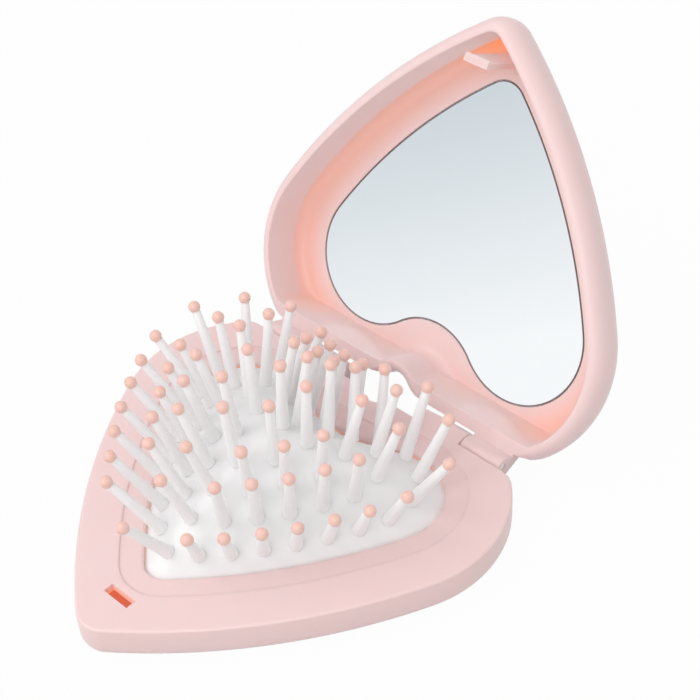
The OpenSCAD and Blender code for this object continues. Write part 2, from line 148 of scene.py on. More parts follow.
def growRows(name, rows, capStart=False, capEnd=False, close=False):
    bpy.ops.object.select_all(action="DESELECT")
    bpy.ops.mesh.primitive_circle_add(vertices=len(rows[0]), radius=heart["lobeR"] * mm)
    piece = bpy.context.object
    piece.name = piece.data.name = name
    for vertex, point in zip(piece.data.vertices, rows[0]):
        vertex.co = Vector(point) * mm
    bpy.ops.object.mode_set(mode="EDIT")
    bpy.ops.mesh.select_all(action="SELECT")
    for before, after in zip(rows, rows[1:]):
        bpy.ops.mesh.extrude_region_move()
        near = KDTree(len(before))
        for i, point in enumerate(before):
            near.insert(Vector(point) * mm, i)
        near.balance()
        mesh = bmesh.from_edit_mesh(piece.data)
        for v in [v for v in mesh.verts if v.select]:
            v.co = Vector(after[near.find(v.co)[1]]) * mm
        bmesh.update_edit_mesh(piece.data)
    if capEnd:
        bpy.ops.mesh.edge_face_add()
    if capStart:
        bpy.ops.mesh.select_all(action="DESELECT")
        bpy.ops.mesh.select_non_manifold()
        bpy.ops.mesh.edge_face_add()
    bpy.ops.mesh.select_all(action="SELECT")
    if close:
        bpy.ops.mesh.remove_doubles(threshold=weldGap)
    bpy.ops.mesh.normals_make_consistent(inside=False)
    bpy.ops.object.mode_set(mode="OBJECT")
    return piece


def onlyActive(piece):
    bpy.ops.object.select_all(action="DESELECT")
    piece.select_set(True)
    bpy.context.view_layer.objects.active = piece


def addBox(name, low, high):
    bpy.ops.object.select_all(action="DESELECT")
    middle = [(a + b) / 2 * mm for a, b in zip(low, high)]
    bpy.ops.mesh.primitive_cube_add(size=1, location=middle)
    bpy.context.object.scale = [(b - a) * mm for a, b in zip(low, high)]
    bpy.ops.object.transform_apply(location=True, rotation=True, scale=True)
    bpy.context.object.name = name
    return bpy.context.object


def addRod(name, xFrom, xTo, y, z, r, sides=48):
    # a cylinder along X
    bpy.ops.object.select_all(action="DESELECT")
    bpy.ops.mesh.primitive_cylinder_add(
        vertices=sides, radius=r * mm, depth=abs(xTo - xFrom) * mm,
        location=((xFrom + xTo) / 2 * mm, y * mm, z * mm), rotation=(0, math.pi / 2, 0))
    bpy.ops.object.transform_apply(location=True, rotation=True, scale=True)
    bpy.context.object.name = name
    return bpy.context.object


def cutPlane(piece, point, normal):
    # takes off what lies on the side that the normal points to
    onlyActive(piece)
    bpy.ops.object.mode_set(mode="EDIT")
    bpy.ops.mesh.select_all(action="SELECT")
    bpy.ops.mesh.bisect(
        plane_co=[c * mm for c in point], plane_no=normal, use_fill=True, clear_outer=True)
    bpy.ops.object.mode_set(mode="OBJECT")


def combine(piece, tool, operation):
    onlyActive(piece)
    step = piece.modifiers.new("combine", "BOOLEAN")
    step.operation = operation
    step.object = tool
    step.solver = "EXACT"
    bpy.ops.object.modifier_apply(modifier=step.name)
    bpy.data.objects.remove(tool, do_unlink=True)


def softenEdges(piece, width, segments=3, angle=30):
    onlyActive(piece)
    step = piece.modifiers.new("soften", "BEVEL")
    step.width = width * mm
    step.segments = segments
    step.limit_method = "ANGLE"
    step.angle_limit = math.radians(angle)
    step.harden_normals = False
    bpy.ops.object.modifier_apply(modifier=step.name)


def smooth(piece, angle=32):
    onlyActive(piece)
    bpy.ops.object.shade_smooth_by_angle(angle=math.radians(angle))


def copyMirrored(piece):
    twin = piece.copy()
    twin.data = piece.data.copy()
    bpy.context.collection.objects.link(twin)
    twin.data.transform(Matrix.Scale(-1, 4, (1, 0, 0)))
    onlyActive(twin)
    bpy.ops.object.mode_set(mode="EDIT")
    bpy.ops.mesh.select_all(action="SELECT")
    bpy.ops.mesh.normals_make_consistent(inside=False)
    bpy.ops.object.mode_set(mode="OBJECT")
    return twin


def newGroup(name, inputs, outputs):
    group = bpy.data.node_groups.new(name, "ShaderNodeTree")
    for label, kind, value in inputs:
        socket = group.interface.new_socket(label, in_out="INPUT", socket_type=kind)
        socket.default_value = value
    for label, kind in outputs:
        group.interface.new_socket(label, in_out="OUTPUT", socket_type=kind)
    return group, group.nodes.new("NodeGroupInput"), group.nodes.new("NodeGroupOutput")


def noiseNode(group, coords, scale, detail=2.0, roughness=0.5):
    noise = group.nodes.new("ShaderNodeTexNoise")
    noise.inputs["Scale"].default_value = scale
    noise.inputs["Detail"].default_value = detail
    noise.inputs["Roughness"].default_value = roughness
    group.links.new(coords, noise.inputs["Vector"])
    return noise


# noise scales, and how far each bump lifts, in metres
texture = {
    "drift": 38, "blotch": 240, "wave": 150, "grain": 2600, "haze": 90, "scratch": 9000,
    "waveLift": 0.001, "grainLift": 0.0001, "scratchLift": 0.00002,
}


def mouldedSurface():
    # soft colour drift, uneven gloss, slow waviness and a fine tool grain, as moulded plastic has
    group, ins, outs = newGroup(
        "mouldedSurface",
        [("Color", "NodeSocketColor", (0.9, 0.7, 0.7, 1)),
         ("Deep Color", "NodeSocketColor", (0.9, 0.6, 0.6, 1)),
         ("Roughness", "NodeSocketFloat", 0.3), ("Unevenness", "NodeSocketFloat", 0.08),
         ("Wave Depth", "NodeSocketFloat", 0.05), ("Grain Depth", "NodeSocketFloat", 0.02)],
        [("Color", "NodeSocketColor"), ("Roughness", "NodeSocketFloat"), ("Normal", "NodeSocketVector")])
    link = group.links.new
    coords = group.nodes.new("ShaderNodeTexCoord").outputs["Object"]
    drift = noiseNode(group, coords, texture["drift"], 3)
    blotch = noiseNode(group, coords, texture["blotch"], 4, 0.6)
    wave = noiseNode(group, coords, texture["wave"], 1)
    grain = noiseNode(group, coords, texture["grain"], 2)
    mix = group.nodes.new("ShaderNodeMix")
    mix.data_type = "RGBA"
    link(drift.outputs["Fac"], mix.inputs["Factor"])
    link(ins.outputs["Color"], mix.inputs["A"])
    link(ins.outputs["Deep Color"], mix.inputs["B"])
    link(mix.outputs["Result"], outs.inputs["Color"])
    centred = group.nodes.new("ShaderNodeMath")
    centred.operation = "SUBTRACT"
    centred.inputs[1].default_value = 0.5
    link(blotch.outputs["Fac"], centred.inputs[0])
    uneven = group.nodes.new("ShaderNodeMath")
    uneven.operation = "MULTIPLY_ADD"
    link(centred.outputs[0], uneven.inputs[0])
    link(ins.outputs["Unevenness"], uneven.inputs[1])
    link(ins.outputs["Roughness"], uneven.inputs[2])
    link(uneven.outputs[0], outs.inputs["Roughness"])
    slow = group.nodes.new("ShaderNodeBump")
    slow.inputs["Distance"].default_value = texture["waveLift"]
    link(ins.outputs["Wave Depth"], slow.inputs["Strength"])
    link(wave.outputs["Fac"], slow.inputs["Height"])
    fine = group.nodes.new("ShaderNodeBump")
    fine.inputs["Distance"].default_value = texture["grainLift"]
    link(ins.outputs["Grain Depth"], fine.inputs["Strength"])
    link(grain.outputs["Fac"], fine.inputs["Height"])
    link(slow.outputs["Normal"], fine.inputs["Normal"])
    link(fine.outputs["Normal"], outs.inputs["Normal"])
    return group


moulded = mouldedSurface()


def mouldedMaterial(name, color, deep, roughness, unevenness, wave, grain,
                    subsurface=0.0, radius=(1, 1, 1), scatterDepth=0.001):
    material = bpy.data.materials.new(name)
    material.use_nodes = True
    nodes, link = material.node_tree.nodes, material.node_tree.links.new
    shader = nodes["Principled BSDF"]
    surface = nodes.new("ShaderNodeGroup")
    surface.node_tree = moulded
    surface.inputs["Color"].default_value = (*color, 1)
    surface.inputs["Deep Color"].default_value = (*deep, 1)
    surface.inputs["Roughness"].default_value = roughness
    surface.inputs["Unevenness"].default_value = unevenness
    surface.inputs["Wave Depth"].default_value = wave
    surface.inputs["Grain Depth"].default_value = grain
    link(surface.outputs["Color"], shader.inputs["Base Color"])
    link(surface.outputs["Roughness"], shader.inputs["Roughness"])
    link(surface.outputs["Normal"], shader.inputs["Normal"])
    shader.inputs["Subsurface Weight"].default_value = subsurface
    shader.inputs["Subsurface Radius"].default_value = radius
    shader.inputs["Subsurface Scale"].default_value = scatterDepth
    return material


def addPaintedShadeGlow(material, salmon, orange, strength):
    # mixes painted shade into the colour by the piece's own painted shade attribute, salmon then orange, and
    # adds a faint painted glow
    nodes, link = material.node_tree.nodes, material.node_tree.links.new
    shader = nodes["Principled BSDF"]
    pale = shader.inputs["Base Color"].links[0].from_socket
    shadeGlowAttribute = nodes.new("ShaderNodeAttribute")
    shadeGlowAttribute.attribute_name = "paintedShadeGlow"
    shaded = nodes.new("ShaderNodeMapRange")
    link(shadeGlowAttribute.outputs["Fac"], shaded.inputs["Value"])
    deep = nodes.new("ShaderNodeMapRange")
    deep.inputs["From Min"].default_value = 1.0
    deep.inputs["From Max"].default_value = 2.0
    link(shadeGlowAttribute.outputs["Fac"], deep.inputs["Value"])
    colors = [salmon, orange]
    source = pale
    for factor, color in zip((shaded, deep), colors):
        mix = nodes.new("ShaderNodeMix")
        mix.data_type = "RGBA"
        link(factor.outputs["Result"], mix.inputs["Factor"])
        link(source, mix.inputs["A"])
        mix.inputs["B"].default_value = (*color, 1)
        source = mix.outputs["Result"]
    link(source, shader.inputs["Base Color"])
    # painted glow: a faint orange emission led by the same painted shade, strongest deep inside
    light = nodes.new("ShaderNodeMix")
    light.data_type = "RGBA"
    light.inputs["A"].default_value = (0, 0, 0, 1)
    light.inputs["B"].default_value = (*orange, 1)
    half = nodes.new("ShaderNodeMath")
    half.operation = "MULTIPLY_ADD"
    half.inputs[1].default_value = 0.16
    link(shaded.outputs["Result"], half.inputs[0])
    link(deep.outputs["Result"], half.inputs[2])
    link(half.outputs[0], light.inputs["Factor"])
    link(light.outputs["Result"], shader.inputs["Emission Color"])
    shader.inputs["Emission Strength"].default_value = strength
    return material


def mirrorMaterial():
    material = bpy.data.materials.new("silveredMirror")
    material.use_nodes = True
    nodes, link = material.node_tree.nodes, material.node_tree.links.new
    shader = nodes["Principled BSDF"]
    coords = nodes.new("ShaderNodeTexCoord").outputs["Object"]
    haze = noiseNode(material.node_tree, coords, texture["haze"], 4, 0.6)
    spread = nodes.new("ShaderNodeMapRange")
    spread.inputs["To Min"].default_value = 0.015
    spread.inputs["To Max"].default_value = 0.06
    link(haze.outputs["Fac"], spread.inputs["Value"])
    link(spread.outputs["Result"], shader.inputs["Roughness"])
    tint = nodes.new("ShaderNodeMix")
    tint.data_type = "RGBA"
    tint.inputs["A"].default_value = (0.93, 0.955, 0.965, 1)
    tint.inputs["B"].default_value = (0.90, 0.935, 0.955, 1)
    link(haze.outputs["Fac"], tint.inputs["Factor"])
    link(tint.outputs["Result"], shader.inputs["Base Color"])
    shader.inputs["Metallic"].default_value = 1.0
    return material


def steelMaterial():
    # wire drawn along X, so its scratches run that way
    material = bpy.data.materials.new("drawnSteel")
    material.use_nodes = True
    nodes, link = material.node_tree.nodes, material.node_tree.links.new
    shader = nodes["Principled BSDF"]
    coords = nodes.new("ShaderNodeTexCoord").outputs["Object"]
    stretch = nodes.new("ShaderNodeMapping")
    stretch.inputs["Scale"].default_value = (0.05, 1, 1)
    link(coords, stretch.inputs["Vector"])
    scratch = noiseNode(material.node_tree, stretch.outputs["Vector"], texture["scratch"], 3)
    spread = nodes.new("ShaderNodeMapRange")
    spread.inputs["To Min"].default_value = 0.2
    spread.inputs["To Max"].default_value = 0.42
    link(scratch.outputs["Fac"], spread.inputs["Value"])
    link(spread.outputs["Result"], shader.inputs["Roughness"])
    tint = nodes.new("ShaderNodeMix")
    tint.data_type = "RGBA"
    tint.inputs["A"].default_value = (0.62, 0.61, 0.6, 1)
    tint.inputs["B"].default_value = (0.72, 0.71, 0.7, 1)
    link(scratch.outputs["Fac"], tint.inputs["Factor"])
    link(tint.outputs["Result"], shader.inputs["Base Color"])
    bump = nodes.new("ShaderNodeBump")
    bump.inputs["Strength"].default_value = 0.2
    bump.inputs["Distance"].default_value = texture["scratchLift"]
    link(scratch.outputs["Fac"], bump.inputs["Height"])
    link(bump.outputs["Normal"], shader.inputs["Normal"])
    shader.inputs["Metallic"].default_value = 1.0
    return material


pinkShell = mouldedMaterial("palePinkShell", (0.83, 0.64, 0.635), (0.83, 0.62, 0.605), 0.36, 0.10, 0.05, 0.04,
                            0.2, (1.0, 0.42, 0.3), 0.002)
# painted shade and a faint painted glow for the pink shell's inner walls
addPaintedShadeGlow(pinkShell, (0.85, 0.52, 0.45), (0.78, 0.22, 0.05), 0.55)
pinkCover = mouldedMaterial("pinkCover", (0.845, 0.62, 0.61), (0.845, 0.60, 0.585), 0.42, 0.12, 0.05, 0.06)
whiteRubber = mouldedMaterial("whiteRubber", (0.87, 0.86, 0.86), (0.845, 0.835, 0.835),
                              0.55, 0.12, 0.06, 0.12, 0.3, (1.0, 0.95, 0.9), 0.0015)
whitePin = mouldedMaterial("whitePinPlastic", (0.87, 0.86, 0.86), (0.85, 0.84, 0.84), 0.4, 0.10, 0.03, 0.05,
                           0.35, (1.0, 0.95, 0.9), 0.0012)
pinkBall = mouldedMaterial("pinkBallPlastic", (0.84, 0.56, 0.49), (0.82, 0.53, 0.455), 0.34, 0.12, 0.03, 0.05,
                           0.2, (1.0, 0.4, 0.3), 0.0008)
whiteFrame = mouldedMaterial("whiteFramePlastic", (0.78, 0.78, 0.79), (0.75, 0.75, 0.76),
                             0.45, 0.12, 0.04, 0.1)
greyFilm = mouldedMaterial("greyAdhesive", (0.2, 0.2, 0.2), (0.16, 0.16, 0.165), 0.7, 0.15, 0.05, 0.3)
mirrorGlass = mirrorMaterial()
# dark edge colour: painted shade for the gap around the mirror
mirrorEdgeShade = mouldedMaterial("mirrorEdgePaintedShade", (0.17, 0.12, 0.12), (0.21, 0.16, 0.16), 0.5, 0.2, 0.05, 0.2)
steel = steelMaterial()
print("materials ready")


def dress(piece, material, body, slotName, *nodes):
    piece.data.materials.clear()
    piece.data.materials.append(material)
    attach(piece, body)
    if nodes:
        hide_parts(*nodes)


# painted shade and glow in the plastic's colour: 0 pale, 1 salmon painted where a wall shades it, 2 orange
# painted deep inside;
# each pair runs from none to full, in millimetres
paintedShadeAndGlow = {
    "lidWall": (2.75, 3.0), "lidBackGap": 2.4, "lidRim": (0, 3), "lidFloor": (0.2, 0.05),
    "cornerY": (-42, -53), "cornerRim": (2, 9), "cornerInset": (8, 4), "cornerShare": 0.75,
    "mirrorInset": (4.5, 9.5), "notchY": 14, "notchReach": (17, 5), "paler": 0.8,
    "baseWall": (1.6, 2.2), "baseBackGap": 1.2, "baseTop": (6.9, 5.9), "baseFoot": (0.1, 1), "baseShare": 2.0,
}


def ramp(value, start, end):
    t = min(max((value - start) / (end - start), 0), 1)
    return t * t * (3 - 2 * t)


def insetOf(x, y):
    # how far inside the heart's outline a point lies
    spot = outlineTree.find((x, y, 0))[0]
    return math.dist((x, y), spot[:2])


# painted shade inside the lid: salmon on the walls and floor, orange in the point's corner, paler over the
# mirror and at the notch
def lidPaintedShadeGlow(x, y, z):
    if y >= heart["flatY"] - paintedShadeAndGlow["lidBackGap"]:
        return 0
    inset, aboveRim = insetOf(x, y), z - lid["rimZ"]
    inside = ramp(inset, *paintedShadeAndGlow["lidWall"]) * ramp(aboveRim - lid["depth"], *paintedShadeAndGlow["lidFloor"])
    corner = (ramp(y, *paintedShadeAndGlow["cornerY"]) * ramp(aboveRim, *paintedShadeAndGlow["cornerRim"])
              * ramp(inset, *paintedShadeAndGlow["cornerInset"]))
    overMirror = 1 - paintedShadeAndGlow["paler"] * ramp(inset, *paintedShadeAndGlow["mirrorInset"])
    atNotch = 1 - paintedShadeAndGlow["paler"] * ramp(math.hypot(x, y - paintedShadeAndGlow["notchY"]), *paintedShadeAndGlow["notchReach"])
    shaded = ramp(aboveRim, *paintedShadeAndGlow["lidRim"]) * overMirror * atNotch
    return inside * (shaded + paintedShadeAndGlow["cornerShare"] * corner)


# painted shade inside the base: orange on the inner walls below the deck
def basePaintedShadeGlow(x, y, z):
    if y >= heart["flatY"] - paintedShadeAndGlow["baseBackGap"]:
        return 0
    inside = ramp(insetOf(x, y), *paintedShadeAndGlow["baseWall"])
    return paintedShadeAndGlow["baseShare"] * inside * ramp(z, *paintedShadeAndGlow["baseTop"]) * ramp(z, *paintedShadeAndGlow["baseFoot"])


def paintShadeGlowAttribute(piece, paintedShadeGlow):
    # stores the painted shade and glow as a vertex attribute; painted while the lid is still shut, so that
    # the places above hold
    shadeGlowAttribute = piece.data.attributes.new("paintedShadeGlow", "FLOAT", "POINT")
    for vertex, entry in zip(piece.data.vertices, shadeGlowAttribute.data):
        entry.value = paintedShadeGlow(*(vertex.co / mm))


base = {
    "h": 8.0, "wall": 2.2, "deckT": 1.8, "round": 3.0, "lip": 0.5,
    "coverT": 1.1, "coverInset": 4.2, "ledgeW": 1.0, "ledgeT": 1.0,
    "coverEdge": 0.15, "band": 0.4,      # a band beside an edge keeps the faces flat in the light
    "openingInset": 12.4, "openingTipR": 4.3, "openingDip": 7.2, "openingEdge": 0.45,
    "borderW": 4.4, "borderDepth": 0.4, "borderEdge": 0.18,
    "slotY": -48.7, "slotL": 6.2, "slotW": 2.1, "slotCut": (4, 10),
}
hinge = {
    "y": 20.5, "z": 6.1, "barrelR": 1.9, "lugIn": 10.3, "lugSplit": 21.3, "lidLugIn": 21.6, "lugOut": 31.0,
    "pinR": 0.8, "heldFit": 0.01, "turnFit": 0.05, "edge": 0.22, "cutPast": 1,
    "lugBite": 1.1, "lugReach": 4.6, "slopeStart": 1.01, "slopeDrop": 1.75,
    "webH": 3.3, "webBite": 1.4, "webLow": 0.5, "neckLap": 0.2,
}
outlineLoop = heartLoop(0, heart["tipR"])
outlineTree = KDTree(len(outlineLoop))
for i, spot in enumerate(outlineLoop):
    outlineTree.insert((spot[0], spot[1], 0), i)
outlineTree.balance()
openingLoop = heartLoop(base["openingInset"], base["openingTipR"], base["openingDip"])
borderLoop = heartLoop(base["openingInset"] - base["borderW"], base["openingTipR"] + base["borderW"],
                       base["openingDip"] + base["borderW"])


def makeBaseShell():
    h, r, lip, flat, band = base["h"], base["round"], base["lip"], heart["flatY"], base["band"]
    deckZ, sunk = h - base["deckT"], h - base["borderDepth"]
    innerFlat, soft = flat - base["wall"], base["coverEdge"]
    rows = [insetRow(base["coverInset"], base["coverT"], innerFlat)]
    rows.append(insetRow(base["coverInset"], soft, innerFlat))
    rows.append(insetRow(base["coverInset"] - soft, 0, innerFlat + soft))
    rows += [insetRow(r * (1 - math.sin(t)), r * (1 - math.cos(t)), flat) for t in quarterTurn(8)]
    rows += [insetRow(lip * (1 - math.cos(t)), h - lip * (1 - math.sin(t)), flat) for t in quarterTurn(4)]
    rows.append(insetRow(lip + band, h, flat))
    # sunk border, its two edges rounded by shares of their width
    e = base["borderEdge"]
    rows.append(loopRow(borderLoop, -e - band, h))
    rows.append(loopRow(borderLoop, -e, h))
    rows.append(loopRow(borderLoop, -e * 0.3, h - e * 0.3))
    rows.append(loopRow(borderLoop, 0, h - e))
    rows.append(loopRow(borderLoop, 0, sunk + e * 0.4))
    rows.append(loopRow(borderLoop, e * 0.6, sunk))
    rows.append(loopRow(borderLoop, e * 0.6 + band, sunk))
    # brush opening, then back along the inside to the cover's ledge
    e = base["openingEdge"]
    rows.append(loopRow(openingLoop, -e - band, sunk))
    rows += [loopRow(openingLoop, -e * (1 - math.sin(t)), sunk - e * (1 - math.cos(t)))
             for t in quarterTurn(4)]
    rows.append(loopRow(openingLoop, 0, deckZ))
    rows.append(insetRow(base["wall"], deckZ, innerFlat))
    ledgeZ = base["coverT"] + base["ledgeT"]
    ledge = base["coverInset"] + base["ledgeW"]
    rows.append(insetRow(base["wall"], ledgeZ, innerFlat))
    rows.append(insetRow(ledge, ledgeZ, innerFlat - base["ledgeW"]))
    rows.append(insetRow(ledge, base["coverT"], innerFlat - base["ledgeW"]))
    rows.append(rows[0])
    shell = growRows("baseShell", rows, close=True)
    # catch slot
    halfL, halfW = base["slotL"] / 2, base["slotW"] / 2
    slotCut = addBox("slotCut", (-halfL, base["slotY"] - halfW, base["slotCut"][0]),
                     (halfL, base["slotY"] + halfW, base["slotCut"][1]))
    combine(shell, slotCut, "DIFFERENCE")
    # hinge lugs, sloped at the back and cut to the outline of the lobes
    y, z, past = hinge["y"], hinge["z"], hinge["cutPast"]
    lug = addBox("lug", (hinge["lugIn"], flat - hinge["lugBite"], r),
                 (hinge["lugSplit"], y + hinge["lugReach"], h))
    cutPlane(lug, (0, y + hinge["slopeStart"], h),
             (0, hinge["slopeDrop"], hinge["lugReach"] - hinge["slopeStart"]))
    around = growRows("around", [insetRow(0, -past), insetRow(0, h + past)], True, True)
    combine(lug, around, "INTERSECT")
    softenEdges(lug, hinge["edge"])
    bore = addRod("bore", hinge["lugIn"] - past, hinge["lugSplit"] + past, y, z,
                  hinge["pinR"] + hinge["heldFit"])
    combine(lug, bore, "DIFFERENCE")
    twin = copyMirrored(lug)
    combine(shell, lug, "UNION")
    combine(shell, twin, "UNION")
    # painted shade and glow for the base's inner walls, stored per vertex
    paintShadeGlowAttribute(shell, basePaintedShadeGlow)
    smooth(shell)
    dress(shell, pinkShell, "base", "pink_shell", "base_shell")
    shell.visible_glossy = False


lid = {
    "rimZ": 8.2, "depth": 10.2, "floorT": 2.9, "wall": 2.8, "fillet": 2.6, "innerLip": 0.3,
    "backDraw": 9.4, "rimDraw": 2.3, "rimRoundH": 3.5,
    "backBand": 0.8, "floorBand": 0.5,      # bands beside an edge, as in the base
    "tongueT": 1.1, "tongueL": 5.6, "tongueGap": 0.3, "tongueEdge": 0.3, "catchGap": 0.15,
    "hook": 0.25, "nubH": 1.0, "nubBite": 0.3, "nubSlope": (0.5, 0.6),
}
mirror = {
    "inset": 10.0, "tipR": 5.0, "t": 1.3, "sunk": 0.2, "gap": 0.25, "arris": 0.17,
    "seatBand": 0.6, "seatEdge": 0.15, "seatPast": 0.2, "faceTilt": 0.99,
}
seatLoop = heartLoop(mirror["inset"] - mirror["gap"], mirror["tipR"] + mirror["gap"])
mirrorLoop = heartLoop(mirror["inset"], mirror["tipR"])


def openLid(piece):
    # turns what is modelled shut to the open lid
    pivot = Vector((0, hinge["y"], hinge["z"])) * mm
    turn = Matrix.Rotation(-math.radians(openAngle), 4, "X")
    piece.data.transform(Matrix.Translation(pivot) @ turn @ Matrix.Translation(-pivot))


def makeLidShell():
    flat, rim, wall = heart["flatY"], lid["rimZ"], lid["wall"]
    floorZ = rim + lid["depth"]
    back = floorZ + lid["floorT"]
    backDraw, rimDraw, rimH = lid["backDraw"], lid["rimDraw"], lid["rimRoundH"]
    inner, fillet, soft = lid["innerLip"], lid["fillet"], mirror["seatEdge"]
    backH = back - rim - rimH
    innerFlat = flat - wall
    rows = [insetRow(backDraw + lid["backBand"], back, flat)]
    rows += [insetRow(backDraw * (1 - math.sin(t)), back - backH * (1 - math.cos(t)), flat)
             for t in quarterTurn(14)]
    rows += [insetRow(rimDraw * (1 - math.cos(t)), rim + rimH * (1 - math.sin(t)), flat)
             for t in quarterTurn(14)[1:]]
    rows += [insetRow(wall - inner * (1 - math.sin(t)), rim + inner * (1 - math.cos(t)), innerFlat)
             for t in quarterTurn(4)]
    rows += [insetRow(wall + fillet * (1 - math.cos(t)), floorZ - fillet * (1 - math.sin(t)), innerFlat)
             for t in quarterTurn(8)]
    rows.append(insetRow(wall + fillet + lid["floorBand"], floorZ, innerFlat))
    rows.append(loopRow(seatLoop, -mirror["seatBand"], floorZ))
    rows.append(loopRow(seatLoop, -soft, floorZ))
    rows.append(loopRow(seatLoop, 0, floorZ + soft))
    rows.append(loopRow(seatLoop, 0, floorZ + mirror["sunk"] + mirror["t"] + mirror["seatPast"]))
    shell = growRows("lidShell", rows, True, True)
    # hinge lugs: a barrel with a web up the lid's flat back wall
    xFrom, xTo, y, z = hinge["lidLugIn"], hinge["lugOut"], hinge["y"], hinge["z"]
    barrelR, web, past = hinge["barrelR"], hinge["webH"], hinge["cutPast"]
    slopeFoot = (0, y + barrelR, rim - hinge["webLow"])
    slope = (0, web + hinge["webLow"], y + barrelR - flat)
    barrel = addRod("barrel", xFrom, xTo, y, z, barrelR, 64)
    gusset = addBox("gusset", (xFrom, flat - hinge["webBite"], rim), (xTo, y + barrelR, rim + web))
    cutPlane(gusset, slopeFoot, slope)
    neck = addBox("neck", (xFrom, y - barrelR, z), (xTo, y + barrelR, rim + hinge["neckLap"]))
    cutPlane(neck, slopeFoot, slope)
    combine(gusset, neck, "UNION")
    combine(gusset, barrel, "UNION")
    softenEdges(gusset, hinge["edge"], 3, 40)
    bore = addRod("bore", xFrom - past, xTo + past, y, z, hinge["pinR"] + hinge["turnFit"])
    combine(gusset, bore, "DIFFERENCE")
    twin = copyMirrored(gusset)
    combine(shell, gusset, "UNION")
    combine(shell, twin, "UNION")
    # catch tongue, with a pointed nub at its foot
    half, nubH, bite = lid["tongueL"] / 2, lid["nubH"], lid["nubBite"]
    front = base["slotY"] - base["slotW"] / 2 + lid["tongueGap"]
    foot = base["h"] - base["deckT"] - lid["catchGap"] - nubH
    nubFront = front - lid["hook"] - bite
    tongue = addBox("tongue", (-half, front, foot), (half, front + lid["tongueT"], floorZ + past))
    nub = addBox("nub", (-half, nubFront, foot), (half, front + bite, foot + nubH))
    run, rise = lid["nubSlope"]
    cutPlane(nub, (0, nubFront, foot + nubH / 2), (0, -run, rise))
    cutPlane(nub, (0, nubFront, foot + nubH / 2), (0, -run, -rise))
    combine(tongue, nub, "UNION")
    softenEdges(tongue, lid["tongueEdge"], 4, 25)
    combine(shell, tongue, "UNION")
    # painted shade and glow for the lid's inside, stored per vertex
    paintShadeGlowAttribute(shell, lidPaintedShadeGlow)
    openLid(shell)
    smooth(shell)
    dress(shell, pinkShell, "lid", "pink_shell", "lid_shell")
    shell.visible_glossy = False          # the mirror shows the plain studio, as in the photograph


def makeMirror():
    face = lid["rimZ"] + lid["depth"] + mirror["sunk"]
    back, a = face + mirror["t"], mirror["arris"]
    rows = [loopRow(mirrorLoop, a, face), loopRow(mirrorLoop, 0, face + a),
            loopRow(mirrorLoop, 0, back - a / 2), loopRow(mirrorLoop, a / 2, back)]
    plate = growRows("mirrorPlate", rows, True, True)
    dress(plate, mirrorGlass, "lid", "mirror", "mirror_glass")
    plate.data.materials.append(mirrorEdgeShade)
    for side in plate.data.polygons:      # the ground edge faces are painted dark, as painted shade for the gap around the mirror
        side.material_index = 0 if abs(side.normal.z) > mirror["faceTilt"] else 1
    openLid(plate)
    smooth(plate, 20)


makeBaseShell()
print("base shell done")
makeLidShell()
makeMirror()
print("lid and mirror done")

pad = {
    "t": 0.9, "flange": 2.2, "rise": 13.0, "power": 1.6, "crownY": -11.0, "gap": 0.05, "rows": 18,
    "lastRow": 0.6,           # keeps the innermost row open, as a share of a row
    "keep": 0.05,             # how flat the shut lid presses it
}


def crownZ(share):
    return base["h"] - base["deckT"] - pad["gap"] + pad["rise"] * (1 - share ** pad["power"])


def shrunk(x, y, share):
    return (share * x, pad["crownY"] + share * (y - pad["crownY"]))


def makeCushion():
    top = crownZ(1)
    rows = [loopRow(openingLoop, -pad["flange"], top), loopRow(openingLoop, 0.0, top)]
    for k in range(pad["rows"]):
        share = 1 - (k + 1) / (pad["rows"] + pad["lastRow"])
        rows.append([(*shrunk(x - pad["gap"] * math.cos(a), y - pad["gap"] * math.sin(a), share),
                      crownZ(share)) for x, y, a in openingLoop])
    cushion = growRows("cushionDome", rows, False, True)
    onlyActive(cushion)
    skin = cushion.modifiers.new("thickness", "SOLIDIFY")
    skin.thickness = pad["t"] * mm
    skin.offset = -1
    bpy.ops.object.modifier_apply(modifier=skin.name)
    smooth(cushion, 60)
    dress(cushion, whiteRubber, "base", "white_rubber", "cushion_pad")
    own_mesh(cushion)
    cushion.visible_glossy = False


makeCushion()
print("cushion done")

pins = {
    "rootR": 1.15, "endR": 0.85, "footR": 1.3, "gap": 0.15, "ballR": 1.2, "ballSeat": 0.75,
    "skirtR": 1.36, "skirtDrop": 1.35, "skirtH": 1.3, "stubR": 0.85, "stubDrop": 1.8, "sides": 20,
    "skirtEdge": 0.05, "shankStart": 1.2, "endEdge": (0.1, 0.3),
    "seatRows": ((-0.02, -0.98), (0.06, -0.9)),
    "ballFrom": 0.72, "ballRows": 11, "ballTop": 0.4, "ballSides": 24,
    "wander": 0.5,            # degrees that a moulded pin strays; more makes the balls meet when shut
    "tipShare": 0.11, "sideShare": 0.5, "turnShare": 0.66, "lobeShare": 0.87, "wholeShare": 1.01,
}
# ring: count, share of the opening, lean, length
rings = {
    "outer": (26, 0.84, 31.0, 14.4), "back": (26, 0.84, 23.0, 14.4), "second": (19, 0.63, 19.0, 13.6),
    "third": (12, 0.44, 16.0, 13.6), "middle": (6, 0.23, 4.0, 13.5),
}
openingArcs = heartArcs(base["openingInset"], base["openingTipR"], base["openingDip"])
openingHalf = sum(arcLength(arc) for arc in openingArcs)


def roundSpot(share):
    way = 2 * min(share, 1 - share) * openingHalf
    for arc in openingArcs:
        if way <= arcLength(arc) or arc is openingArcs[-1]:
            spot = arcSpot(arc, way)
            break
        way -= arcLength(arc)
    return spot if share <= 0.5 else mirrored(spot)


